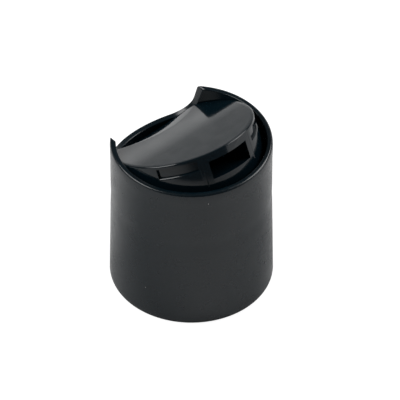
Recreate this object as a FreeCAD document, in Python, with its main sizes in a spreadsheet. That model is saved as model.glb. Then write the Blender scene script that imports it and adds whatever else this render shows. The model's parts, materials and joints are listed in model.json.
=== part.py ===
import FreeCAD, Part
import Sketcher
import math
import os
import re

# Disc top dispensing cap for a 24 mm continuous thread bottle neck, moulded in
# two pieces: a smooth shell and a disc that tilts in it on two trunnions.
# Pressing the thumb pad at the back lifts the front of the disc and opens the
# way from the bottle, through a ball valve on the tilt axis, to the spout.
#
# Frame: millimetres, +Z up, origin at the centre of the base, spout towards -Y,
# thumb scoop towards +Y, tilt axis along X. The disc is placed open.

SIZES = {
    # Shell: skirt, deck and rim
    "cap_height": 29.2,         # foot to rim
    "bore_radius": 12.2,        # inside of the skirt, over the neck thread
    "foot_wall": 1.6,           # skirt outside the bore, at the foot
    "neck_depth": 17.0,         # foot to the underside of the deck
    "deck_thickness": 1.2,
    "well_radius": 12.55,       # the well above the deck that the disc tilts in
    "well_wall": 0.95,          # from the well to the outside
    "foot_chamfer": 0.3,
    "lip_round": 0.45,          # outer edge of the rim
    "well_chamfer": 0.2,        # inner edge of the rim
    "bore_lead": 0.4,           # chamfer at the mouth of the bore
    "land_step": 0.2,           # how far the land above the thread stands in from the bore
    "land_gap": 0.2,            # how far the land reaches below the plug
    # Shell: plug that seals inside the bottle neck
    "plug_radius": 9.9,
    "plug_wall": 0.9,
    "plug_depth": 2.6,
    "plug_lead": 0.3,
    # Shell: thumb scoop
    "scoop_depth": 6.85,
    "scoop_floor_radius": 27.0,
    "scoop_floor_spread": 12.0,  # degrees of the floor arc, each side of its middle
    "scoop_corner_radius": 4.5,
    "scoop_end_slope": 10.0,    # degrees off vertical
    "horn_round": 0.5,          # the two tips where scoop meets rim
    "horn_break": 20.0,         # degrees at which a tip's rounding meets the rim
    # Tilt axis
    "pivot_height": 25.0,
    "pivot_setback": 0.9,       # behind the centre of the cap
    "open_tilt": 25.4,          # degrees
    "trunnion_radius": 1.2,
    "trunnion_reach": 0.4,      # how far a trunnion enters the wall of the well
    "trunnion_lead": 0.25,
    "trunnion_gap": 0.06,
    "trunnion_end_gap": 0.1,
    # Ball valve
    "ball_radius": 4.0,
    "seat_gap": 0.06,
    "seat_wall": 1.0,
    "port_radius": 1.3,         # the throat in the shell and the port in the ball
    "port_land": 2.0,           # degrees of ball between port and throat when shut
    # Disc
    "disc_gap": 0.45,           # round the disc, closed
    "sweep_gap": 0.2,           # to the wall of the well, for what swings outwards
    "disc_rise": 0.2,           # closed disc above the rim
    "disc_drop": 2.6,           # skirt of the disc below the tilt axis
    "disc_taper": 4.4,          # degrees, on the disc below the tilt axis
    "disc_wall": 1.6,
    "plate_thickness": 1.2,
    "heel_gap": 0.05,           # open disc above the deck
    "plate_chamfer": 0.2,
    # Disc: spout window and duct
    "window_width": 8.0,
    "window_height": 3.2,
    "window_cover": 1.4,        # of plate above the window
    "duct_wall": 1.0,
    "duct_end_width": 3.0,
    "duct_end": 1.0,            # behind the tilt axis
    # Disc: recesses beside the window
    "recess_start": 28.3,       # degrees from the middle of the window
    "recess_sweep": 33.4,
    "recess_cover": 0.55,
    "recess_height": 1.7,
    "recess_depth": 0.45,
    # Disc: thumb pad
    "pad_front": 4.5,           # behind the centre of the cap
    "pad_slope": 20.0,
    "pad_radius": 37.0,         # hollow across the pad
    # Disc: web along the tilt axis
    "web_thickness": 1.0,
}

# Sizes that follow from the ones above
DECK_TOP = "(neck_depth + deck_thickness)"
FOOT_RADIUS = "(bore_radius + foot_wall)"
RIM_RADIUS = "(well_radius + well_wall)"
LAND_RADIUS = "(bore_radius - land_step)"
DISC_RADIUS = "(well_radius - disc_gap)"
PLATE_TOP = "(cap_height + disc_rise - pivot_height)"
DUCT_TOP = f"({PLATE_TOP} - window_cover)"
DUCT_FLOOR = f"({DUCT_TOP} - window_height)"
RECESS_FLOOR = f"({PLATE_TOP} - recess_cover - recess_height)"
SEAT_RADIUS = "(ball_radius + seat_gap)"
PORT_ANGLE = f"(asin(port_radius / ball_radius) + asin(port_radius / {SEAT_RADIUS}) + port_land * 1deg)"
LIP_ANGLE = f"({PORT_ANGLE} + asin(port_radius / ball_radius) + port_land * 1deg)"
TOWER_TOP = f"(pivot_height - {SEAT_RADIUS} * cos({LIP_ANGLE}))"
TOWER_RADIUS = f"({SEAT_RADIUS} * sin({LIP_ANGLE}) + seat_wall)"
DUCT_MOUTH = f"(pivot_setback + {DISC_RADIUS} - disc_wall)"
PIN_ROOT = f"({DISC_RADIUS} - disc_wall / 2)"
BEYOND = 2.0  # how far a cutting tool reaches past what it cuts

ALIAS = re.compile(r"\b(" + "|".join(SIZES) + r")\b")

doc = FreeCAD.newDocument("DiscTopCap")
sheet = doc.addObject("Spreadsheet::Sheet", "Sizes")
for row, (alias, size) in enumerate(SIZES.items(), start=1):
    sheet.set(f"A{row}", alias)
    sheet.set(f"B{row}", str(size))
    sheet.setAlias(f"B{row}", alias)
doc.recompute()


def bound(text):
    """Points the size names in an expression at the sheet."""
    return ALIAS.sub(r"Sizes.\1", text)


gauge = doc.addObject("App::VarSet", "Gauge")
gauge.addProperty("App::PropertyFloat", "Reading")


def value(text):
    """Works an expression in size names out, as a plain number."""
    gauge.setExpression("Reading", bound(text))
    gauge.recompute()
    return gauge.Reading


def bind(thing, **properties):
    """Binds properties to expressions; a double underscore stands for a dot."""
    for name, text in properties.items():
        thing.setExpression(name.replace("__", "."), bound(text))
    return thing


# ---------------------------------------------------------------- features of a body

def sketch_on(body, name, role, lift="0"):
    """An empty sketch on one of the body's origin planes, lifted off it."""
    sketch = body.newObject("Sketcher::SketchObject", name)
    plane = next(item for item in body.Origin.OriginFeatures if item.Role == role)
    sketch.AttachmentSupport = (plane, "")
    sketch.MapMode = "FlatFace"
    return bind(sketch, AttachmentOffset__Base__z=lift)


def pin_coordinate(sketch, geometry, point, kind, text):
    """Binds one coordinate of a point of the sketch."""
    index = sketch.addConstraint(Sketcher.Constraint(kind, geometry, point, value(text)))
    sketch.setExpression(f"Constraints[{index}]", bound(text))


def pin_point(sketch, geometry, point, across, up):
    """Binds a point of the sketch to its two coordinates."""
    pin_coordinate(sketch, geometry, point, "DistanceX", across)
    pin_coordinate(sketch, geometry, point, "DistanceY", up)


def arc_between(start, end, up):
    """The shorter arc between two points whose centre has this second coordinate.

    Returns it with the numbers of its points at the start and at the end, because
    an arc always runs anticlockwise from its point 1 to its point 2.
    """
    middle = (start + end) / 2
    across = middle.x - (up - middle.y) * (end.y - start.y) / (end.x - start.x)
    centre = FreeCAD.Vector(across, up, 0)
    ring = Part.Circle(centre, FreeCAD.Vector(0, 0, 1), start.distanceToPoint(centre))
    turns = [math.atan2(point.y - up, point.x - across) for point in (start, end)]
    if (turns[1] - turns[0]) % (2 * math.pi) < math.pi:
        return Part.ArcOfCircle(ring, *turns), (1, 2)
    return Part.ArcOfCircle(ring, *reversed(turns)), (2, 1)


def outline(sketch, corners):
    """A closed outline, run anticlockwise, with every corner bound.

    Each corner is its two coordinates. A third entry makes the side that leaves the
    corner an arc, and gives the second coordinate of the arc's centre.
    """
    count = len(corners)
    places = [FreeCAD.Vector(value(corner[0]), value(corner[1]), 0) for corner in corners]
    ends = []
    for side, corner in enumerate(corners):
        start, end = places[side], places[(side + 1) % count]
        if len(corner) == 3:
            curve, numbers = arc_between(start, end, value(corner[2]))
        else:
            curve, numbers = Part.LineSegment(start, end), (1, 2)
        sketch.addGeometry(curve)
        ends.append(numbers)
    for side, corner in enumerate(corners):
        after = (side + 1) % count
        sketch.addConstraint(Sketcher.Constraint("Coincident", side, ends[side][1], after, ends[after][0]))
        pin_point(sketch, side, ends[side][0], *corner[:2])
        if len(corner) == 3:
            pin_coordinate(sketch, side, 3, "DistanceY", corner[2])
    return sketch


def circle(sketch, across, up, radius):
    """A circle with its centre and radius bound."""
    centre = FreeCAD.Vector(value(across), value(up), 0)
    sketch.addGeometry(Part.Circle(centre, FreeCAD.Vector(0, 0, 1), value(radius)))
    pin_point(sketch, 0, 3, across, up)
    index = sketch.addConstraint(Sketcher.Constraint("Radius", 0, value(radius)))
    sketch.setExpression(f"Constraints[{index}]", bound(radius))
    return sketch


def feature(body, kind, name, profile, **properties):
    """A feature made from a sketch; the caller sets its type and sense."""
    made = body.newObject(kind, name)
    made.Profile = profile
    bind(made, **properties)
    return made


def settle(body, made, grows):
    """Rebuilds and makes sure that the feature added or took away material."""
    before = made.BaseFeature.Shape.Volume if made.BaseFeature else 0.0
    doc.recompute()
    after = made.Shape.Volume
    if (after > before) != grows or abs(after - before) < 1e-3:
        raise RuntimeError(f"{made.Label} left the volume of {body.Label} at {after:.3f}")
    return made


def samples(edge):
    """Five points spread along an edge."""
    first, last = edge.ParameterRange
    return [edge.valueAt(first + (last - first) * step / 4) for step in range(5)]


def reach(point):
    """Distance of a point from the axis of the cap."""
    return math.hypot(point.x, point.y)


# ---------------------------------------------------------------- shell

def shell_section(body):
    """Skirt, deck, neck plug and the wall of the well, turned about the cap's axis."""
    land_foot = "(neck_depth - plug_depth - land_gap)"
    section = outline(sketch_on(body, "ShellSection", "XZ_Plane"), [
        ("bore_radius + bore_lead", "0"),
        (f"{FOOT_RADIUS} - foot_chamfer", "0"),
        (FOOT_RADIUS, "foot_chamfer"),
        (RIM_RADIUS, DECK_TOP),
        (RIM_RADIUS, "cap_height"),
        ("well_radius + well_chamfer", "cap_height"),
        ("well_radius", "cap_height - well_chamfer"),
        ("well_radius", DECK_TOP),
        ("0", DECK_TOP),
        ("0", "neck_depth"),
        ("plug_radius - plug_wall", "neck_depth"),
        ("plug_radius - plug_wall", "neck_depth - plug_depth"),
        ("plug_radius - plug_lead", "neck_depth - plug_depth"),
        ("plug_radius", "neck_depth - plug_depth + 2 * plug_lead"),
        ("plug_radius", "neck_depth"),
        (LAND_RADIUS, "neck_depth"),
        (LAND_RADIUS, land_foot),
        ("bore_radius", f"{land_foot} - land_step"),
        ("bore_radius", "bore_lead"),
    ])
    turned = feature(body, "PartDesign::Revolution", "ShellTurned", section)
    turned.ReferenceAxis = (section, ["V_Axis"])
    turned.Angle = 360.0
    return settle(body, turned, grows=True)


def valve_tower(body):
    """The post on the deck that carries the seat of the ball valve and its throat."""
    ring = circle(sketch_on(body, "TowerRing", "XY_Plane", "neck_depth"),
                  "0", "pivot_setback", TOWER_RADIUS)
    tower = feature(body, "PartDesign::Pad", "Tower", ring, Length=f"{TOWER_TOP} - neck_depth")
    settle(body, tower, grows=True)

    seat = body.newObject("PartDesign::SubtractiveSphere", "ValveSeat")
    seat.AttachmentSupport = (next(item for item in body.Origin.OriginFeatures
                                   if item.Role == "XY_Plane"), "")
    seat.MapMode = "FlatFace"
    bind(seat, Radius=SEAT_RADIUS, AttachmentOffset__Base__y="pivot_setback",
         AttachmentOffset__Base__z="pivot_height")
    settle(body, seat, grows=False)

    core_ring = circle(sketch_on(body, "CoreRing", "XY_Plane", "neck_depth"),
                       "0", "pivot_setback", f"{TOWER_RADIUS} - seat_wall")
    core = feature(body, "PartDesign::Pocket", "TowerCore", core_ring,
                   Length=f"pivot_height - {SEAT_RADIUS} - seat_wall - neck_depth")
    core.Reversed = True
    settle(body, core, grows=False)

    throat_ring = circle(sketch_on(body, "ThroatRing", "XY_Plane", "pivot_height"),
                         "0", "pivot_setback", "port_radius")
    throat = feature(body, "PartDesign::Pocket", "Throat", throat_ring)
    throat.Type = "ThroughAll"
    return settle(body, throat, grows=False)


def trunnion_sockets(body):
    """One blind hole each side in the wall of the well, on the tilt axis."""
    ring = circle(sketch_on(body, "SocketRing", "YZ_Plane"),
                  "pivot_setback", "pivot_height", "trunnion_radius + trunnion_gap")
    sockets = feature(body, "PartDesign::Pocket", "Sockets", ring,
                      Length="2 * (well_radius + trunnion_reach + trunnion_end_gap)")
    sockets.Midplane = True
    return settle(body, sockets, grows=False)


def thumb_scoop(body):
    """The notch in the back of the rim that lets a thumb reach the pad."""
    slope = "(scoop_end_slope * 1deg)"
    spread = "(scoop_floor_spread * 1deg)"
    floor = "(cap_height - scoop_depth)"
    inside = "(scoop_floor_radius - scoop_corner_radius)"
    floor_centre = f"({floor} + scoop_floor_radius)"
    floor_end = f"(scoop_floor_radius * sin({spread}))"
    floor_rise = f"({floor_centre} - scoop_floor_radius * cos({spread}))"
    corner_centre = f"({floor_centre} - {inside} * cos({spread}))"
    flank = f"({inside} * sin({spread}) + scoop_corner_radius * cos({slope}))"
    flank_foot = f"({corner_centre} - scoop_corner_radius * sin({slope}))"
    horn_centre = "(cap_height - horn_round * cos(horn_break * 1deg))"
    horn_foot = f"({horn_centre} + horn_round * sin({slope}))"
    horn_side = f"({flank} + ({horn_foot} - {flank_foot}) * tan({slope}))"
    horn_top = f"({horn_side} + horn_round * cos({slope}))"
    notch = outline(sketch_on(body, "ScoopOutline", "XZ_Plane"), [
        (f"-{floor_end}", floor_rise, floor_centre),
        (floor_end, floor_rise, corner_centre),
        (flank, flank_foot),
        (horn_side, horn_foot, horn_centre),
        (horn_top, f"{horn_centre} + horn_round"),
        (horn_top, f"cap_height + {BEYOND}"),
        (f"-{horn_top}", f"cap_height + {BEYOND}"),
        (f"-{horn_top}", f"{horn_centre} + horn_round", horn_centre),
        (f"-{horn_side}", horn_foot),
        (f"-{flank}", flank_foot, corner_centre),
    ])
    scoop = feature(body, "PartDesign::Pocket", "Scoop", notch)
    scoop.Type = "ThroughAll"
    return settle(body, scoop, grows=False)


def rim_lip(body, turned):
    """The rounding of the outer edge of the rim."""
    top, radius = SIZES["cap_height"], value(RIM_RADIUS)
    names = [f"Edge{number}" for number, edge in enumerate(turned.Shape.Edges, start=1)
             if all(abs(point.z - top) + abs(reach(point) - radius) < 1e-4 for point in samples(edge))]
    lip = body.newObject("PartDesign::Fillet", "RimLip")
    lip.Base = (turned, names)
    bind(lip, Radius="lip_round")
    return settle(body, lip, grows=False)


def make_shell():
    body = doc.addObject("PartDesign::Body", "cap_shell")
    turned = shell_section(body)
    rim_lip(body, turned)
    valve_tower(body)
    trunnion_sockets(body)
    body.Tip = thumb_scoop(body)
    return body


# ---------------------------------------------------------------- tilting disc
# The disc is drawn closed, with the middle of the tilt axis as its own origin.

def solid(kind, name, turn_about=(0, 0, 1), turn="0deg", **properties):
    """A primitive with its sizes and place bound."""
    made = doc.addObject(f"Part::{kind}", name)
    axis = FreeCAD.Vector(*turn_about)
    made.Placement = FreeCAD.Placement(FreeCAD.Vector(), FreeCAD.Rotation(axis, 1.0))
    return bind(made, Placement__Rotation__Angle=turn, **properties)


def fused(name, *shapes):
    made = doc.addObject("Part::MultiFuse", name)
    made.Shapes = list(shapes)
    return made


def combined(kind, name, base, tool):
    """A cut or common of two shapes."""
    made = doc.addObject(f"Part::{kind}", name)
    made.Base = base
    made.Tool = tool
    return made


def disc_blank():
    """The outside of the closed disc: straight above the tilt axis, tapered below."""
    shoulder = f"({PLATE_TOP} - plate_chamfer)"
    drum = solid("Cylinder", "DiscDrum", Radius=DISC_RADIUS, Height=shoulder,
                 Placement__Base__y="-pivot_setback")
    edge = solid("Cone", "PlateEdge", Radius1=DISC_RADIUS, Radius2=f"{DISC_RADIUS} - plate_chamfer",
                 Height="plate_chamfer", Placement__Base__y="-pivot_setback",
                 Placement__Base__z=shoulder)
    taper = solid("Cone", "DiscTaper", Radius2=DISC_RADIUS, Height="disc_drop",
                  Radius1=f"{DISC_RADIUS} - disc_drop * tan(disc_taper * 1deg)",
                  Placement__Base__y="-pivot_setback", Placement__Base__z="-disc_drop")
    return fused("DiscBlank", drum, edge, taper)


def pad_cylinder(name, radius):
    """A lying cylinder that slopes down to the back, as deep as the thumb pad."""
    slope = "(pad_slope * 1deg)"
    half = f"(2 * {DISC_RADIUS})"
    front = "(pad_front - pivot_setback)"
    return solid("Cylinder", name, turn_about=(-1, 0, 0), turn=f"90deg + {slope}",
                 Radius=radius, Height=f"2 * {half}",
                 Placement__Base__y=f"{front} + pad_radius * sin({slope}) - {half} * cos({slope})",
                 Placement__Base__z=f"{PLATE_TOP} + pad_radius * cos({slope}) + {half} * sin({slope})")


def disc_hollow():
    """The space under the plate, which keeps its thickness under the thumb pad."""
    bore = solid("Cylinder", "HollowBore", Radius=f"{DISC_RADIUS} - disc_wall",
                 Height=f"disc_drop + {BEYOND} + {PLATE_TOP} - plate_thickness",
                 Placement__Base__y="-pivot_setback",
                 Placement__Base__z=f"-disc_drop - {BEYOND}")
    under_pad = pad_cylinder("UnderPad", "pad_radius + plate_thickness")
    return combined("Cut", "Hollow", bore, under_pad)


def narrowing_block(name, floor, top, front_half, back_half, back):
    """A block that narrows from the mouth of the duct to the back."""
    return solid("Wedge", name, Ymin=f"-{DUCT_MOUTH}", Ymax=back,
                 Xmin=f"-{front_half}", Xmax=front_half, X2min=f"-{back_half}", X2max=back_half,
                 Zmin=floor, Z2min=floor, Zmax=top, Z2max=top)


def disc_fittings():
    """The ball and its stem, the duct from it to the front, and the web along the axis."""
    floor = f"({DUCT_FLOOR} - duct_wall)"
    top = f"({PLATE_TOP} - plate_thickness / 2)"
    ball = solid("Sphere", "BallUnderside", Radius="ball_radius")
    ball.Angle2 = 0.0
    stem = solid("Cylinder", "BallStem", Radius="ball_radius", Height=top)
    walls = narrowing_block("DuctWalls", floor, top, "(window_width / 2 + duct_wall)",
                            "(duct_end_width / 2 + duct_wall)", "0")
    web = solid("Box", "TiltWeb", Length=f"2 * {PIN_ROOT}", Width="web_thickness",
                Height=f"{top} - {floor}", Placement__Base__x=f"-{PIN_ROOT}",
                Placement__Base__y="-web_thickness / 2", Placement__Base__z=floor)
    return [ball, stem, walls, web]


def passage():
    """The way through: spout window, duct, and the port in the ball."""
    window = solid("Box", "Window", Length="window_width", Height="window_height",
                   Width=f"disc_wall + {BEYOND}", Placement__Base__x="-window_width / 2",
                   Placement__Base__y=f"-{DUCT_MOUTH} - disc_wall - {BEYOND}",
                   Placement__Base__z=DUCT_FLOOR)
    bore = narrowing_block("DuctBore", DUCT_FLOOR, DUCT_TOP, "(window_width / 2)",
                           "(duct_end_width / 2)", "duct_end")
    rise = f"({DUCT_FLOOR} + port_radius)"
    port = solid("Cylinder", "BallPort", turn_about=(1, 0, 0), turn=f"180deg + {PORT_ANGLE}",
                 Radius="port_radius", Placement__Base__y=f"-{rise} * tan({PORT_ANGLE})",
                 Placement__Base__z=rise,
                 Height=f"ball_radius + {BEYOND} + {rise} / cos({PORT_ANGLE})")
    return [window, bore, port]


def edge_recess(name, start):
    """A recess in the front wall under the edge of the plate, along an arc."""
    block = solid("Cylinder", f"{name}Block", turn=f"270deg + ({start}) * 1deg", Angle="recess_sweep",
                  Radius=f"{DISC_RADIUS} + {BEYOND}", Height="recess_height",
                  Placement__Base__y="-pivot_setback", Placement__Base__z=RECESS_FLOOR)
    core = solid("Cylinder", f"{name}Core", Radius=f"{DISC_RADIUS} - recess_depth",
                 Height="recess_height", Placement__Base__y="-pivot_setback",
                 Placement__Base__z=RECESS_FLOOR)
    return combined("Cut", name, block, core)


def heel_cut():
    """What of the disc would sink into the deck, so that the open heel lies flat there."""
    tilt = "(open_tilt * 1deg)"
    side = f"(4 * {DISC_RADIUS})"
    depth = f"(pivot_height - {DECK_TOP} - heel_gap + {side})"
    return solid("Box", "HeelCut", turn_about=(1, 0, 0), turn=tilt,
                 Length=side, Width=side, Height=side, Placement__Base__x=f"-{side} / 2",
                 Placement__Base__y=f"{depth} * sin({tilt}) - {side} / 2 * cos({tilt})",
                 Placement__Base__z=f"-{depth} * cos({tilt}) - {side} / 2 * sin({tilt})")


def sweep_room():
    """The room that the well leaves the disc when it stands open."""
    tilt = "(open_tilt * 1deg)"
    half = f"(2 * {DISC_RADIUS})"
    return solid("Cylinder", "SweepRoom", turn_about=(1, 0, 0), turn=tilt,
                 Radius="well_radius - sweep_gap", Height=f"2 * {half}",
                 Placement__Base__y=f"{half} * sin({tilt}) - pivot_setback * cos({tilt})",
                 Placement__Base__z=f"-{half} * cos({tilt}) - pivot_setback * sin({tilt})")


def trunnion(name, side):
    """A pin on the tilt axis with a chamfered end, from the disc's wall into the shell's."""
    end = "(well_radius + trunnion_reach - trunnion_lead)"
    stem = solid("Cylinder", f"{name}Stem", turn_about=(0, side, 0), turn="90deg",
                 Radius="trunnion_radius", Height=f"{end} - {PIN_ROOT}",
                 Placement__Base__x=f"{side} * {PIN_ROOT}")
    tip = solid("Cone", f"{name}Tip", turn_about=(0, side, 0), turn="90deg",
                Radius1="trunnion_radius", Radius2="trunnion_radius - trunnion_lead",
                Height="trunnion_lead", Placement__Base__x=f"{side} * {end}")
    return [stem, tip]


def make_disc():
    cup = combined("Cut", "DiscCup", disc_blank(), disc_hollow())
    filled = fused("DiscFilled", cup, *disc_fittings())
    cuts = fused("DiscCuts", *passage(), pad_cylinder("ThumbPad", "pad_radius"), heel_cut(),
                 edge_recess("RightRecess", "recess_start"),
                 edge_recess("LeftRecess", "-(recess_start + recess_sweep)"))
    opened = combined("Cut", "DiscOpened", filled, cuts)
    fitting = combined("Common", "DiscInWell", opened, sweep_room())
    disc = fused("tilting_disc", fitting, *trunnion("RightTrunnion", 1), *trunnion("LeftTrunnion", -1))
    disc.Placement = FreeCAD.Placement(FreeCAD.Vector(), FreeCAD.Rotation(FreeCAD.Vector(-1, 0, 0), 1.0))
    return bind(disc, Placement__Base__y="pivot_setback", Placement__Base__z="pivot_height",
                Placement__Rotation__Angle="open_tilt")


# ---------------------------------------------------------------- build and export

def check(parts):
    for item in doc.Objects:
        if {"Invalid", "Error"} & set(item.State):
            raise RuntimeError(f"{item.Label} failed: {item.State}")
    for part in parts:
        if part.Shape.isNull() or not part.Shape.isValid() or len(part.Shape.Solids) != 1:
            raise RuntimeError(f"{part.Label} is not one valid solid")


def export(parts):
    os.makedirs("parts", exist_ok=True)
    for part in parts:
        part.Shape.exportStep(f"parts/{part.Label}.step")
        box = part.Shape.BoundBox
        print(f"{part.Label}: {part.Shape.Volume:.1f} mm3, "
              f"{box.XLength:.2f} x {box.YLength:.2f} x {box.ZLength:.2f} mm")


pieces = [make_shell(), make_disc()]
doc.recompute()
check(pieces)
export(pieces)
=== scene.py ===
# %% [markdown]
# # Disc top cap
# A disc top cap is the press-to-open closure of a shampoo or lotion bottle. It has two
# moulded pieces: a shell that screws on the neck, and a disc that tilts in the shell's well.
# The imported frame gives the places, so the looks always sit on the true part.

# %% Load the frame
import json
import math

import bmesh
import bpy
from mathutils import Matrix, Vector


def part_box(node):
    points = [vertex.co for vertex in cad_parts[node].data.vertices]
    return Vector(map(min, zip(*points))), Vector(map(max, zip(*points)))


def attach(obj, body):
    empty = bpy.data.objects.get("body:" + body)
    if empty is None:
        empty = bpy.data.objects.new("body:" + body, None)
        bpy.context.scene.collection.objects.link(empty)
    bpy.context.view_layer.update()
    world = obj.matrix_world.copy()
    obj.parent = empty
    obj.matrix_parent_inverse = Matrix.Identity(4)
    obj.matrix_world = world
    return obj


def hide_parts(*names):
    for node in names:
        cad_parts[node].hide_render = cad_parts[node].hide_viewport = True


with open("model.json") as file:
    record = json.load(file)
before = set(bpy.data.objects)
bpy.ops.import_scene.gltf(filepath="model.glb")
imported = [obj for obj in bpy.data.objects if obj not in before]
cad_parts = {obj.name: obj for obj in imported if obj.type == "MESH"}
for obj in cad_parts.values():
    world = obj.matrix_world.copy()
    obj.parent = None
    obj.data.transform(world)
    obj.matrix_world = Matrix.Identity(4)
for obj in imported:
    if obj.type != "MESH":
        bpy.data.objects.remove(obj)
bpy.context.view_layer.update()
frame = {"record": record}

# %% [markdown]
# ## Sizes
# Blender works in metres, and a cap is easier to think of in millimetres. So each mesh is
# drawn in millimetres and shrunk once, when it becomes an object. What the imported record
# knows is read from it: the foot, the rim, the bore and the tilt axis.

# %% Main sizes, in millimetres
MM = 0.001
shell_low, shell_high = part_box("cap_shell")
hinge = frame["record"]["behaviour"]["joints"][0]
bore = next(mount for mount in frame["record"]["mounts"] if mount["name"] == "neck_bore")

RIM_HEIGHT = shell_high.z / MM
FOOT_RADIUS = -shell_low.y / MM
BORE_RADIUS = bore["dims"]["r_mm"]
PIVOT = Vector(hinge["pos_m"]) / MM
OPEN_TILT = math.radians(hinge["range_deg"][1])
WALL_RADIUS = 13.5
WELL_RADIUS = 12.55
DECK_UNDERSIDE = 17.0
DECK_TOP = 18.2
print("rim", round(RIM_HEIGHT, 3), "foot radius", round(FOOT_RADIUS, 3), "tilt axis", PIVOT)

# %% [markdown]
# ## Camera
# The camera stands far off with a long lens, as in product work, so the cap keeps its shape.

# %% Camera
AIM = Vector((0, 0, 0.015))
DISTANCE = 1.0
TURN = math.radians(40.84)
RISE = 43.68


def seen_from(turn, rise):
    """The direction from the cap to a place turned right of the camera and raised off the floor."""
    angle = TURN - math.radians(turn)
    rise = math.radians(rise)
    return Vector((-math.sin(angle) * math.cos(rise), -math.cos(angle) * math.cos(rise), math.sin(rise)))


camera = bpy.data.objects.new("camera", bpy.data.cameras.new("camera"))
bpy.context.scene.collection.objects.link(camera)
toward_camera = seen_from(0, RISE)
camera.location = AIM + DISTANCE * toward_camera
camera.rotation_euler = toward_camera.to_track_quat("Z", "Y").to_euler()
camera.data.sensor_width = 36.0
camera.data.lens = 537.5
camera.data.shift_x = 0.0215
camera.data.shift_y = 0.0046
camera.data.clip_start = 0.1
bpy.context.scene.camera = camera
print("camera at", [round(v, 4) for v in camera.location])

# %% [markdown]
# ## Light
# Gloss black shows little colour of its own, so nearly all that is seen on it is a
# reflection. Two soft boxes stand left and right, with nothing bright straight ahead or
# overhead, which keeps the front of the rim dark. A low bright strip and a dim wall stand
# behind: the top of the open disc looks at the horizon there and shows where the two meet.

# %% Lamps
def lamp(name, turn, rise, distance, size, radiance, aim=AIM):
    """A rectangular lamp that faces the cap and doesn't show itself to the camera."""
    made = bpy.data.objects.new(name, bpy.data.lights.new(name, "AREA"))
    bpy.context.scene.collection.objects.link(made)
    made.data.shape = "RECTANGLE"
    made.data.size, made.data.size_y = size
    made.data.energy = radiance * math.pi * size[0] * size[1]
    made.location = aim + distance * seen_from(turn, rise)
    made.rotation_euler = (made.location - aim).to_track_quat("Z", "Y").to_euler()
    made.visible_camera = False
    return made


lamp("left_box", -88, 45, 0.8, (0.62, 0.42), 5.2)
lamp("right_box", 118, 42, 0.8, (0.55, 0.45), 5.0)
lamp("back_wall", 180, 4, 0.6, (1.0, 0.30), 0.28, aim=Vector((0, 0, 0.13)))
lamp("back_strip", 180, 0, 0.55, (1.0, 0.022), 1.1, aim=Vector((0, 0, 0.012)))
lamp("right_wall", 90, 2, 0.6, (0.5, 0.25), 0.75, aim=Vector((0, 0, 0.1)))

# %% Room
world = bpy.data.worlds.new("room")
bpy.context.scene.world = world
world.use_nodes = True
tree = world.node_tree
tree.nodes.clear()
seen = tree.nodes.new("ShaderNodeLightPath")
white = tree.nodes.new("ShaderNodeBackground")
white.inputs["Color"].default_value = (1, 1, 1, 1)
white.inputs["Strength"].default_value = 1.0
room = tree.nodes.new("ShaderNodeBackground")
room.inputs["Color"].default_value = (1, 1, 1, 1)
room.inputs["Strength"].default_value = 0.08
choose = tree.nodes.new("ShaderNodeMixShader")
out = tree.nodes.new("ShaderNodeOutputWorld")
tree.links.new(seen.outputs["Is Camera Ray"], choose.inputs[0])
tree.links.new(room.outputs[0], choose.inputs[1])
tree.links.new(white.outputs[0], choose.inputs[2])
tree.links.new(choose.outputs[0], out.inputs["Surface"])

# %% Floor
bpy.ops.mesh.primitive_plane_add(size=6.0)
floor = bpy.context.object
floor.name = "floor"
paper = bpy.data.materials.new("paper")
paper.use_nodes = True
tree = paper.node_tree
tree.nodes.clear()
seen = tree.nodes.new("ShaderNodeLightPath")
matt = tree.nodes.new("ShaderNodeBsdfDiffuse")
matt.inputs["Color"].default_value = (0.8, 0.8, 0.8, 1)
glow = tree.nodes.new("ShaderNodeEmission")
glow.inputs["Color"].default_value = (1, 1, 1, 1)
glow.inputs["Strength"].default_value = 0.88
dim = tree.nodes.new("ShaderNodeBsdfDiffuse")
dim.inputs["Color"].default_value = (0.35, 0.35, 0.35, 1)
both = tree.nodes.new("ShaderNodeAddShader")
choose = tree.nodes.new("ShaderNodeMixShader")
out = tree.nodes.new("ShaderNodeOutputMaterial")
tree.links.new(glow.outputs[0], both.inputs[0])
tree.links.new(dim.outputs[0], both.inputs[1])
tree.links.new(seen.outputs["Is Camera Ray"], choose.inputs[0])
tree.links.new(matt.outputs[0], choose.inputs[1])
tree.links.new(both.outputs[0], choose.inputs[2])
tree.links.new(choose.outputs[0], out.inputs["Surface"])
floor.data.materials.append(paper)

# %% [markdown]
# ## Mesh helpers
# Both pieces are turned shapes with things cut out of them, so a few helpers do most of the
# work: one makes an object of points and faces, one turns an outline about an axis, and one
# joins, cuts or keeps the overlap of closed meshes with the Boolean modifier.

# %% Points, faces and objects
def as_object(name, points, faces, place=Matrix()):
    """An object of points in millimetres, with its place in the mesh and its faces outward."""
    mesh = bpy.data.meshes.new(name)
    mesh.from_pydata([place @ Vector(point) * MM for point in points], [], faces)
    work = bmesh.new()
    work.from_mesh(mesh)
    bmesh.ops.recalc_face_normals(work, faces=work.faces)
    if work.calc_volume(signed=True) < 0:
        bmesh.ops.reverse_faces(work, faces=work.faces)
    work.to_mesh(mesh)
    work.free()
    made = bpy.data.objects.new(name, mesh)
    bpy.context.scene.collection.objects.link(made)
    return made


def spread(first, last, count):
    """Evenly spread values, both ends included."""
    return [first + (last - first) * step / (count - 1) for step in range(count)]


def fillet(before, corner, after, steps):
    """A round corner between two points, as a conic arc that is tangent to both sides."""
    before, corner, after = Vector(before), Vector(corner), Vector(after)
    weight = math.sin((before - corner).angle(after - corner) / 2)
    points = []
    for t in spread(0.0, 1.0, steps + 1):
        share = ((1 - t) ** 2, 2 * weight * t * (1 - t), t ** 2)
        points.append((share[0] * before + share[1] * corner + share[2] * after) / sum(share))
    return points


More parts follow.
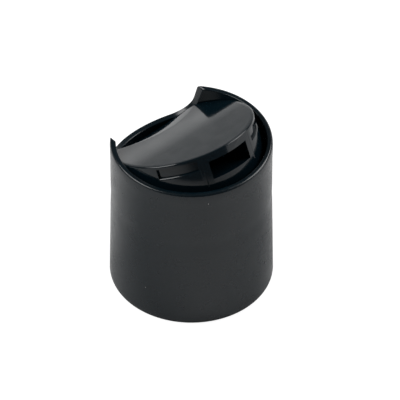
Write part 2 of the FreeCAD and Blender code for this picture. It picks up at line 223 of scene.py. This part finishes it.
# %% Turned shapes
def turned(name, outline, place=Matrix(), spokes=160):
    """An outline of (radius, height) from pole to pole, turned about the upright axis."""
    points = [(0, 0, outline[0][1]), (0, 0, outline[-1][1])]
    rings = []
    for radius, height in outline[1:-1]:
        rings.append([len(points) + spoke for spoke in range(spokes)])
        for spoke in range(spokes):
            angle = 2 * math.pi * spoke / spokes
            points.append((radius * math.cos(angle), radius * math.sin(angle), height))
    faces = []
    for spoke in range(spokes):
        after = (spoke + 1) % spokes
        faces.append((0, rings[0][after], rings[0][spoke]))
        faces.append((1, rings[-1][spoke], rings[-1][after]))
        for lower, upper in zip(rings, rings[1:]):
            faces.append((lower[spoke], lower[after], upper[after], upper[spoke]))
    return as_object(name, points, faces, place)


def drum(name, radius, low, high, place=Matrix(), spokes=96):
    """A plain cylinder."""
    return turned(name, [(0, low), (radius, low), (radius, high), (0, high)], place, spokes)


def block(name, low, high, place=Matrix(), front_half=None):
    """A block; front_half makes it narrow or widen towards the front from its plain back."""
    points = []
    for z in (low[2], high[2]):
        front = front_half or high[0]
        points += [(-front, low[1], z), (front, low[1], z), (high[0], high[1], z), (low[0], high[1], z)]
    faces = [(3, 2, 1, 0), (4, 5, 6, 7), (0, 1, 5, 4), (1, 2, 6, 5), (2, 3, 7, 6), (3, 0, 4, 7)]
    return as_object(name, points, faces, place)


# %% Joining and cutting
def made_plain(thing):
    """Turns what the modifiers give into the object's own mesh."""
    ready = thing.evaluated_get(bpy.context.evaluated_depsgraph_get())
    mesh = bpy.data.meshes.new_from_object(ready)
    thing.modifiers.clear()
    thing.data = mesh
    return thing


def in_triangles(mesh):
    """Splits every face, so that each is flat when the next cut meets it."""
    work = bmesh.new()
    work.from_mesh(mesh)
    bmesh.ops.dissolve_degenerate(work, dist=0.0005 * MM, edges=work.edges)
    bmesh.ops.triangulate(work, faces=work.faces)
    work.to_mesh(mesh)
    work.free()


def combined(operation, target, *tools):
    """Joins, cuts or keeps the overlap of closed meshes; the tools are used up."""
    group = bpy.data.collections.new("tools")
    bpy.context.scene.collection.children.link(group)
    for tool in tools:
        group.objects.link(tool)
    step = target.modifiers.new("step", "BOOLEAN")
    step.operation = operation
    step.solver = "EXACT"
    step.operand_type = "COLLECTION"
    step.collection = group
    made_plain(target)
    in_triangles(target.data)
    for tool in tools:
        bpy.data.objects.remove(tool)
    bpy.data.collections.remove(group)
    return target


# %% [markdown]
# ## Shell
# The shell is turned, but its rim dips in the thumb scoop. So it is drawn as upright columns
# side by side, each from the middle of the neck plug, out and down to the foot, up the
# outside, over the rim and down to the middle of the deck. A column in the scoop is only
# lower than its neighbours. All edges of the rim can then be properly round.

# %% Outline of the scoop
FLOOR_ARC = 27.0
FLOOR_SPREAD = math.radians(12)
CORNER_ARC = 4.5
FLANK_LEAN = math.radians(10)
SCOOP_DEPTH = 6.85
HORN_ARC = 0.5

floor_centre = Vector((0, RIM_HEIGHT - SCOOP_DEPTH + FLOOR_ARC))
corner_centre = floor_centre + (FLOOR_ARC - CORNER_ARC) * Vector((math.sin(FLOOR_SPREAD), -math.cos(FLOOR_SPREAD)))
steepest = math.pi / 2 - FLANK_LEAN
flank_foot = corner_centre + CORNER_ARC * Vector((math.sin(steepest), -math.cos(steepest)))
horn_foot = RIM_HEIGHT - HORN_ARC + HORN_ARC * math.cos(steepest)
horn_across = flank_foot.x + (horn_foot - flank_foot.y) * math.tan(FLANK_LEAN) + HORN_ARC * math.sin(steepest)
horn_centre = Vector((horn_across, RIM_HEIGHT - HORN_ARC))

# Each sample is a point across and up, and the lean of the line that points into the wall.
outline = []
for centre, radius, leans in ((floor_centre, FLOOR_ARC, spread(0.0, FLOOR_SPREAD, 10)),
                              (corner_centre, CORNER_ARC, spread(FLOOR_SPREAD, steepest, 18)[1:]),
                              (horn_centre, -HORN_ARC, spread(steepest, 0.0, 12))):
    outline += [(centre + radius * Vector((math.sin(lean), -math.cos(lean))), lean) for lean in leans]
print(len(outline), "samples of half the scoop, tips at", round(horn_centre.x, 3))

# %% Lower part of a column
EDGE_ROUND = 0.13          # edges of the scoop
LIP_ROUND = 0.45           # outer edge of the rim
WELL_ROUND = 0.22          # inner edge of the rim
FOOT_ROUND = 0.3
RIM_COLUMNS = 96
SCOOP_CLEAR = 21.0         # no column is lower than this


def skirt_radius(height):
    """Outside of the skirt: it narrows to the deck, shrinks in a little there, and ends in a bead."""
    narrowing = (FOOT_RADIUS - WALL_RADIUS) * max(0.0, 1 - height / DECK_TOP)
    shrunk = 0.04 * math.exp(-((height - 17.4) / 1.3) ** 2)
    bead = 0.05 * math.exp(-((height - 27.9) / 1.2) ** 2)
    return WALL_RADIUS + narrowing - shrunk + bead


def around(radius, angle, height):
    """A point of the shell; the angle starts at the middle of the scoop."""
    return Vector((radius * math.sin(angle), radius * math.cos(angle), height))


def lower_part(angle):
    """Deck underside, neck plug, land, bore, foot and the outside up to the scoop."""
    section = [(4.0, DECK_UNDERSIDE), (9.0, DECK_UNDERSIDE), (9.0, 14.4), (9.6, 14.4), (9.9, 15.0),
               (9.9, DECK_UNDERSIDE), (12.0, DECK_UNDERSIDE), (12.0, 14.2), (BORE_RADIUS, 14.0)]
    section += [(BORE_RADIUS, height) for height in spread(12.0, 0.4, 6)] + [(BORE_RADIUS + 0.4, 0.0)]
    foot = fillet((FOOT_RADIUS - FOOT_ROUND, 0, 0), (FOOT_RADIUS, 0, 0), (FOOT_RADIUS, 0, FOOT_ROUND), 5)
    section += [(point.x, point.z) for point in foot]
    section += [(skirt_radius(height), height) for height in spread(1.2, SCOOP_CLEAR, 34)]
    return [around(radius, angle, height) for radius, height in section]


# %% Whole columns
RIM_RADIUS = skirt_radius(RIM_HEIGHT)


def column(angle_out, angle_in, height, lean, edge_round, well_round):
    """One column of the shell over a sample of the rim."""
    edge_out = around(RIM_RADIUS, angle_out, height)
    edge_in = around(WELL_RADIUS, angle_in, height)
    if lean:
        angle_out = math.asin((edge_out.x + edge_round * math.sin(lean)) / RIM_RADIUS)
        angle_in = math.asin((edge_in.x + well_round * math.sin(lean)) / WELL_RADIUS)
    top_out = height - edge_round * math.cos(lean)
    top_in = height - well_round * math.cos(lean)
    across = (edge_in - edge_out).normalized()
    points = lower_part(angle_out)
    points += [around(skirt_radius(level), angle_out, level) for level in spread(SCOOP_CLEAR, top_out, 16)[1:-1]]
    points += fillet(around(RIM_RADIUS, angle_out, top_out), edge_out, edge_out + edge_round * across, 7)
    points += fillet(edge_in - well_round * across, edge_in, around(WELL_RADIUS, angle_in, top_in), 5)
    points += [around(WELL_RADIUS, angle_in, level) for level in spread(top_in, DECK_TOP + 0.2, 7)[1:]]
    return points + [around(radius, angle_in, DECK_TOP) for radius in (WELL_RADIUS - 0.2, 9.0, 6.0)]


half = []
for point, lean in outline:
    horn = 1 - lean / steepest if point.y > flank_foot.y + 0.1 else 0.0
    half.append(column(math.asin(point.x / RIM_RADIUS), math.asin(point.x / WELL_RADIUS), point.y, lean,
                       EDGE_ROUND + horn * (LIP_ROUND - EDGE_ROUND),
                       EDGE_ROUND + horn * (WELL_ROUND - EDGE_ROUND)))
tip_out, tip_in = math.asin(horn_across / RIM_RADIUS), math.asin(horn_across / WELL_RADIUS)
for share in spread(0.0, 1.0, RIM_COLUMNS)[1:]:
    half.append(column(tip_out + share * (math.pi - tip_out), tip_in + share * (math.pi - tip_in),
                       RIM_HEIGHT, 0.0, LIP_ROUND, WELL_ROUND))
print(len(half), "columns in half the shell, each of", len(half[0]), "points")

# %% Shell mesh
columns = half + [[Vector((-point.x, point.y, point.z)) for point in points] for points in half[-2:0:-1]]
points = [Vector((0, 0, DECK_UNDERSIDE)), Vector((0, 0, DECK_TOP))]
for column_points in columns:
    points += column_points
tall = len(half[0])
faces = []
for index in range(len(columns)):
    here, there = 2 + index * tall, 2 + (index + 1) % len(columns) * tall
    faces += [(0, here, there), (1, there + tall - 1, here + tall - 1)]
    faces += [(here + step, here + step + 1, there + step + 1, there + step) for step in range(tall - 1)]
shell = as_object("shell", points, faces)
print(len(shell.data.polygons), "faces")

# %% [markdown]
# The ball valve sits on a post in the middle of the deck, and two blind sockets in the wall
# of the well hold the disc's trunnions. They are simple turned shapes, joined and cut.

# %% Valve post and sockets
BALL_RADIUS = 4.0
SEAT_RADIUS = 4.06
PORT_RADIUS = 1.3
POST_RADIUS = 4.537
POST_TOP = 23.007
POST_WALL = 1.0
SOCKET_RADIUS = 1.26
SOCKET_END = WELL_RADIUS + 0.5

post_axis = Matrix.Translation((0, PIVOT.y, 0))
tilt_axis = Matrix.Translation(PIVOT) @ Matrix.Rotation(math.pi / 2, 4, "Y")
seat = [(SEAT_RADIUS * math.cos(angle), SEAT_RADIUS * math.sin(angle))
        for angle in spread(-math.pi / 2, math.pi / 2, 49)]
combined("UNION", shell, drum("post", POST_RADIUS, DECK_UNDERSIDE + 0.3, POST_TOP, post_axis))
combined("DIFFERENCE", shell,
         turned("seat", seat, Matrix.Translation(PIVOT)),
         drum("core", POST_RADIUS - POST_WALL, DECK_UNDERSIDE - 1, PIVOT.z - SEAT_RADIUS - POST_WALL, post_axis),
         drum("throat", PORT_RADIUS, DECK_UNDERSIDE - 1, PIVOT.z, post_axis),
         drum("sockets", SOCKET_RADIUS, -SOCKET_END, SOCKET_END, tilt_axis))
print(len(shell.data.polygons), "faces with the valve post and the sockets")

# %% [markdown]
# ## Disc
# The disc is drawn closed, with the middle of the tilt axis as its origin, and tilted open at
# the end. It starts as a turned blank with a round upper edge. Its plate is pressed down a
# hair towards the thumb pad, as thin plates come out of the mould. That hair is what makes
# the gloss run from dark to light across it.

# %% Blank of the disc
DISC_RADIUS = 12.1
DISC_DROP = 2.6
DISC_TAPER = math.radians(4.4)
DISC_WALL = 1.6
PLATE_TOP = 4.4
PLATE_ROUND = 0.26
PLATE_THICKNESS = 1.2
CROWN_START = -3.5
CROWN = 0.002

disc_axis = Matrix.Translation((0, -PIVOT.y, 0))
open_place = Matrix.Translation(PIVOT) @ Matrix.Rotation(-OPEN_TILT, 4, "X")
closed_place = open_place.inverted()
foot_radius = DISC_RADIUS - DISC_DROP * math.tan(DISC_TAPER)
edge = fillet((DISC_RADIUS, 0, PLATE_TOP - PLATE_ROUND), (DISC_RADIUS, 0, PLATE_TOP),
              (DISC_RADIUS - PLATE_ROUND, 0, PLATE_TOP), 6)
section = [(0, -DISC_DROP), (foot_radius - 0.1, -DISC_DROP), (foot_radius, -DISC_DROP + 0.1), (DISC_RADIUS, 0)]
section += [(point.x, point.z) for point in edge]
section += [(radius, PLATE_TOP) for radius in spread(11.4, 0.0, 20)]
disc = turned("disc", section, disc_axis, 240)
for vertex in disc.data.vertices:
    past = vertex.co.y / MM - CROWN_START
    if vertex.co.z / MM > PLATE_TOP - PLATE_ROUND - 0.01 and past > 0:
        vertex.co.z -= CROWN * past ** 2 * MM
in_triangles(disc.data)

# %% Hollow and fittings
PAD_FRONT = 3.6            # behind the tilt axis
PAD_SLOPE = math.radians(20)
PAD_RADIUS = 37.0
DUCT_FLOOR = -0.2
DUCT_TOP = 3.0
DUCT_MOUTH = 11.4
FITTING_TOP = PLATE_TOP - PLATE_THICKNESS / 2
FITTING_FLOOR = DUCT_FLOOR - 1.0


def pad_drum(name, radius):
    """A lying cylinder that slopes down to the back, as deep as the thumb pad."""
    place = Matrix.Translation((0, PAD_FRONT + PAD_RADIUS * math.sin(PAD_SLOPE),
                                PLATE_TOP + PAD_RADIUS * math.cos(PAD_SLOPE)))
    return drum(name, radius, -25, 25, place @ Matrix.Rotation(-math.pi / 2 - PAD_SLOPE, 4, "X"), 360)


hollow = drum("hollow", DISC_RADIUS - DISC_WALL, -DISC_DROP - 2, PLATE_TOP - PLATE_THICKNESS, disc_axis, 206)
combined("DIFFERENCE", hollow, pad_drum("under_pad", PAD_RADIUS + PLATE_THICKNESS))
combined("DIFFERENCE", disc, hollow)
ball = [(BALL_RADIUS * math.cos(angle), BALL_RADIUS * math.sin(angle)) for angle in spread(-math.pi / 2, 0, 25)]
combined("UNION", disc,
         turned("ball", ball + [(BALL_RADIUS, FITTING_TOP), (0, FITTING_TOP)]),
         block("duct_walls", (-2.5, -DUCT_MOUTH - 0.5, FITTING_FLOOR), (2.5, 0.03, FITTING_TOP - 0.03), front_half=5.1),
         block("web", (-11.65, -0.5, FITTING_FLOOR + 0.03), (11.65, 0.5, FITTING_TOP - 0.06)))
print(len(disc.data.polygons), "faces with the hollow, the ball and the duct's walls")

# %% Passage, pad and recesses
PORT_ANGLE = math.radians(39.64)
RECESS_START = math.radians(28.3)
RECESS_SWEEP = math.radians(33.4)
RECESS_FLOOR = 2.15
RECESS_TOP = 3.85
RECESS_DEPTH = 0.45
LEDGE_ROUND = 0.32


def sector(name, section, start, sweep, place, spokes=40):
    """A closed section of (radius, height) swept part of the way round."""
    count = len(section)
    points = [(radius * math.cos(angle), radius * math.sin(angle), height)
              for angle in spread(start, start + sweep, spokes) for radius, height in section]
    faces = [tuple(range(count)), tuple(range(len(points) - count, len(points)))]
    for spoke in range(spokes - 1):
        for side in range(count):
            here, after = spoke * count + side, spoke * count + (side + 1) % count
            faces.append((here, after, after + count, here + count))
    return as_object(name, points, faces, place)


ledge = fillet((DISC_RADIUS - LEDGE_ROUND, 0, RECESS_FLOOR), (DISC_RADIUS, 0, RECESS_FLOOR),
               (DISC_RADIUS, 0, RECESS_FLOOR - LEDGE_ROUND), 5)
recess = [(DISC_RADIUS - RECESS_DEPTH, RECESS_TOP), (DISC_RADIUS - RECESS_DEPTH, RECESS_FLOOR)]
recess += [(point.x, point.z) for point in ledge]
recess += [(DISC_RADIUS + 1, RECESS_FLOOR - LEDGE_ROUND), (DISC_RADIUS + 1, RECESS_TOP)]
front = -math.pi / 2
port = Matrix.Rotation(math.pi + PORT_ANGLE, 4, "X")
combined("DIFFERENCE", disc,
         block("window", (-4, -15, DUCT_FLOOR), (4, -DUCT_MOUTH - 0.2, DUCT_TOP)),
         block("duct", (-1.5, -DUCT_MOUTH - 0.6, DUCT_FLOOR + 0.01), (1.5, 1, DUCT_TOP - 0.01), front_half=4.1),
         drum("port", PORT_RADIUS, -1.4, BALL_RADIUS + 2, port),
         sector("right_recess", recess, front + RECESS_START, RECESS_SWEEP, disc_axis),
         sector("left_recess", recess, front - RECESS_START - RECESS_SWEEP, RECESS_SWEEP, disc_axis))
combined("DIFFERENCE", disc, pad_drum("pad", PAD_RADIUS))
combined("DIFFERENCE", disc, block("heel", (-30, -30, -10), (30, 30, DECK_TOP + 0.05), closed_place))
print(len(disc.data.polygons), "faces with the duct, the pad and the recesses")

# %% Room to swing, trunnions and tilt
SWEEP_RADIUS = WELL_RADIUS - 0.2
TRUNNION_RADIUS = 1.2
TRUNNION_ROOT = 11.3
TRUNNION_END = WELL_RADIUS + 0.4

combined("INTERSECT", disc, drum("sweep", SWEEP_RADIUS, -10, 60, closed_place, 240))
pin = [(0, TRUNNION_ROOT), (TRUNNION_RADIUS, TRUNNION_ROOT), (TRUNNION_RADIUS, TRUNNION_END - 0.25),
       (TRUNNION_RADIUS - 0.07, TRUNNION_END - 0.07), (TRUNNION_RADIUS - 0.25, TRUNNION_END), (0, TRUNNION_END)]
combined("UNION", disc, *(turned("trunnion", pin, Matrix.Rotation(side * math.pi / 2, 4, "Y"), 64)
                          for side in (1, -1)))
disc.data.transform(Matrix.Translation(PIVOT * MM) @ Matrix.Rotation(-OPEN_TILT, 4, "X"))
print(len(disc.data.polygons), "faces in the finished disc")

# %% [markdown]
# ## Neck thread
# Inside the skirt runs one and a half turns of a coarse right-handed thread. It follows a
# path, so Geometry Nodes make it: a trapezoid is swept along a spiral and fades out at both
# ends, as a moulded thread does.

# %% Thread node tree
def node_tree_with(name, kind, inputs, outputs):
    """A node tree with named sockets, given as (name, type, value)."""
    made = bpy.data.node_groups.new(name, kind)
    for side, sockets in (("INPUT", inputs), ("OUTPUT", outputs)):
        for label, socket_type, value in sockets:
            socket = made.interface.new_socket(name=label, in_out=side, socket_type=socket_type)
            if value is not None:
                socket.default_value = value
    return made


def add(tree, kind, links=None, **settings):
    """A node, with its settings, and links or values for its inputs."""
    node = tree.nodes.new(kind)
    for label, value in settings.items():
        setattr(node, label, value)
    for label, source in (links or {}).items():
        if isinstance(source, bpy.types.NodeSocket):
            tree.links.new(source, node.inputs[label])
        else:
            node.inputs[label].default_value = source
    return node


thread_tree = node_tree_with("neck_thread", "GeometryNodeTree", [
    ("Root Radius", "NodeSocketFloat", 0.0122),
    ("Pitch", "NodeSocketFloat", 0.00318),
    ("Turns", "NodeSocketFloat", 1.5),
    ("Start Height", "NodeSocketFloat", 0.003),
    ("Depth", "NodeSocketFloat", 0.0008),
    ("Root Width", "NodeSocketFloat", 0.0019),
    ("Crest Width", "NodeSocketFloat", 0.0006),
    ("Fade", "NodeSocketFloat", 9.0),
    ("Finish", "NodeSocketMaterial", None),
], [("Geometry", "NodeSocketGeometry", None)])
given = thread_tree.nodes.new("NodeGroupInput").outputs
climb = add(thread_tree, "ShaderNodeMath", {0: given["Pitch"], 1: given["Turns"]}, operation="MULTIPLY")
spiral = add(thread_tree, "GeometryNodeCurveSpiral", {
    "Resolution": 96, "Rotations": given["Turns"], "Start Radius": given["Root Radius"],
    "End Radius": given["Root Radius"], "Height": climb.outputs[0], "Reverse": True})
lift = add(thread_tree, "ShaderNodeCombineXYZ", {"Z": given["Start Height"]})
raised = add(thread_tree, "GeometryNodeTransform", {"Geometry": spiral.outputs[0], "Translation": lift.outputs[0]})
upright = add(thread_tree, "GeometryNodeSetCurveNormal", {"Curve": raised.outputs[0]}, mode="Z_UP")
along = add(thread_tree, "GeometryNodeSplineParameter")
rest = add(thread_tree, "ShaderNodeMath", {0: 1.0, 1: along.outputs["Factor"]}, operation="SUBTRACT")
nearest = add(thread_tree, "ShaderNodeMath", {0: along.outputs["Factor"], 1: rest.outputs[0]}, operation="MINIMUM")
fade = add(thread_tree, "ShaderNodeMath", {0: nearest.outputs[0], 1: given["Fade"]}, operation="MULTIPLY")
whole = add(thread_tree, "ShaderNodeMath", {0: fade.outputs[0], 1: 1.0}, operation="MINIMUM")
faded = add(thread_tree, "GeometryNodeSetCurveRadius", {"Curve": upright.outputs[0], "Radius": whole.outputs[0]})
ridge = add(thread_tree, "GeometryNodeCurvePrimitiveQuadrilateral", {
    "Height": given["Depth"], "Bottom Width": given["Root Width"], "Top Width": given["Crest Width"],
    "Offset": 0.0}, mode="TRAPEZOID")
swept = add(thread_tree, "GeometryNodeCurveToMesh", {
    "Curve": faded.outputs[0], "Profile Curve": ridge.outputs[0], "Fill Caps": True})
real = add(thread_tree, "GeometryNodeRealizeInstances", {"Geometry": swept.outputs[0]})
finished = add(thread_tree, "GeometryNodeSetMaterial", {"Geometry": real.outputs[0], "Material": given["Finish"]})
add(thread_tree, "NodeGroupOutput", {"Geometry": finished.outputs[0]})

# %% [markdown]
# ## Finish
# The cap is black polypropylene straight from the mould. The disc's top was polished in the
# mould and the skirt was not, so the skirt has a fine even grain. Two effects are shared by
# all of it and are node groups: the moulded skin, and the odd speck of pale dust that black
# plastic pulls in.

# %% Moulded skin
skin = node_tree_with("moulded_skin", "ShaderNodeTree", [
    ("Grain", "NodeSocketFloat", 6.0),
    ("Ripple", "NodeSocketFloat", 0.5),
    ("Smooth", "NodeSocketFloat", 0.2),
    ("Rough", "NodeSocketFloat", 0.3),
], [("Height", "NodeSocketFloat", None), ("Roughness", "NodeSocketFloat", None)])
given = skin.nodes.new("NodeGroupInput").outputs
where = add(skin, "ShaderNodeTexCoord")
in_mm = add(skin, "ShaderNodeVectorMath", {0: where.outputs["Object"], "Scale": 1000.0}, operation="SCALE")
grain = add(skin, "ShaderNodeTexNoise", {"Vector": in_mm.outputs[0], "Scale": given["Grain"], "Detail": 2.0})
ripple = add(skin, "ShaderNodeTexNoise", {"Vector": in_mm.outputs[0], "Scale": given["Ripple"], "Detail": 1.0})
height = add(skin, "ShaderNodeMath", {0: ripple.outputs["Fac"], 1: 4.0, 2: grain.outputs["Fac"]}, operation="MULTIPLY_ADD")
roughness = add(skin, "ShaderNodeMapRange", {
    "Value": ripple.outputs["Fac"], "From Min": 0.35, "From Max": 0.65, "To Min": given["Smooth"], "To Max": given["Rough"]})
add(skin, "NodeGroupOutput", {"Height": height.outputs[0], "Roughness": roughness.outputs["Result"]})

# %% Dust
dust = node_tree_with("dust", "ShaderNodeTree", [
    ("Spacing", "NodeSocketFloat", 2.2),
    ("Size", "NodeSocketFloat", 0.035),
    ("Share", "NodeSocketFloat", 0.3),
], [("Mask", "NodeSocketFloat", None)])
given = dust.nodes.new("NodeGroupInput").outputs
where = add(dust, "ShaderNodeTexCoord")
in_mm = add(dust, "ShaderNodeVectorMath", {0: where.outputs["Object"], "Scale": 1000.0}, operation="SCALE")
density = add(dust, "ShaderNodeMath", {0: 1.0, 1: given["Spacing"]}, operation="DIVIDE")
cells = add(dust, "ShaderNodeTexVoronoi", {"Vector": in_mm.outputs[0], "Scale": density.outputs[0]})
near = add(dust, "ShaderNodeMath", {0: cells.outputs["Distance"], 1: given["Size"]}, operation="LESS_THAN")
draw = add(dust, "ShaderNodeSeparateColor", {"Color": cells.outputs["Color"]})
drawn = add(dust, "ShaderNodeMath", {0: draw.outputs["Red"], 1: given["Share"]}, operation="LESS_THAN")
mask = add(dust, "ShaderNodeMath", {0: near.outputs[0], 1: drawn.outputs[0]}, operation="MULTIPLY")
add(dust, "NodeGroupOutput", {"Mask": mask.outputs[0]})

# %% Plastics
BLACK = (0.002, 0.0075, 0.0115, 1)
DUST = (0.6, 0.6, 0.58, 1)


def plastic(name, grain, ripple, smooth, rough, depth, dust_share):
    """Black polypropylene with its own skin and share of dust."""
    made = bpy.data.materials.new(name)
    made.use_nodes = True
    tree = made.node_tree
    shader = tree.nodes["Principled BSDF"]
    shader.inputs["IOR"].default_value = 1.49
    surface = add(tree, "ShaderNodeGroup", node_tree=skin)
    for label, value in (("Grain", grain), ("Ripple", ripple), ("Smooth", smooth), ("Rough", rough)):
        surface.inputs[label].default_value = value
    specks = add(tree, "ShaderNodeGroup", node_tree=dust)
    specks.inputs["Share"].default_value = dust_share
    bump = add(tree, "ShaderNodeBump", {"Height": surface.outputs["Height"], "Strength": 1.0, "Distance": depth * MM})
    colour = add(tree, "ShaderNodeMix", {"Factor": specks.outputs["Mask"]}, data_type="RGBA")
    colour.inputs[6].default_value = BLACK
    colour.inputs[7].default_value = DUST
    tree.links.new(colour.outputs[2], shader.inputs["Base Color"])
    tree.links.new(surface.outputs["Roughness"], shader.inputs["Roughness"])
    tree.links.new(bump.outputs["Normal"], shader.inputs["Normal"])
    return made


shell_finish = plastic("satin_black_plastic", 6.0, 0.5, 0.2, 0.28, 0.0006, 0.12)
disc_finish = plastic("polished_black_plastic", 4.0, 0.4, 0.10, 0.12, 0.00008, 0.06)

# %% Thread object
thread = bpy.data.objects.new("thread", bpy.data.meshes.new("thread"))
bpy.context.scene.collection.objects.link(thread)
winding = thread.modifiers.new("winding", "NODES")
winding.node_group = thread_tree
sockets = {item.name: item.identifier for item in thread_tree.interface.items_tree if item.in_out == "INPUT"}
winding[sockets["Root Radius"]] = (BORE_RADIUS + 0.1) * MM
winding[sockets["Finish"]] = shell_finish
made_plain(thread)
low = [min(v.co[axis] for v in thread.data.vertices) / MM for axis in range(3)]
high = [max(v.co[axis] for v in thread.data.vertices) / MM for axis in range(3)]
inner = min(math.hypot(v.co.x, v.co.y) for v in thread.data.vertices) / MM
outer = max(math.hypot(v.co.x, v.co.y) for v in thread.data.vertices) / MM
print(len(thread.data.polygons), "faces; low", low, "high", high, "radii", inner, outer)

# %% [markdown]
# ## Assembly
# Each piece takes its finish, stands for its node of the frame and rides on that node's body.

# %% Assembly
for piece, finish, body, nodes in ((shell, shell_finish, "shell", ("cap_shell",)),
                                   (disc, disc_finish, "disc", ("tilting_disc",)),
                                   (thread, shell_finish, "shell", ())):
    piece.data.materials.clear()
    piece.data.materials.append(finish)
    piece.data.shade_smooth()
    piece.data.set_sharp_from_angle(angle=math.radians(32))
    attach(piece, body)
    if nodes:
        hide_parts(*nodes)
    print(piece.name, len(piece.data.polygons), "faces")

bpy.context.scene.view_settings.view_transform = "Standard"
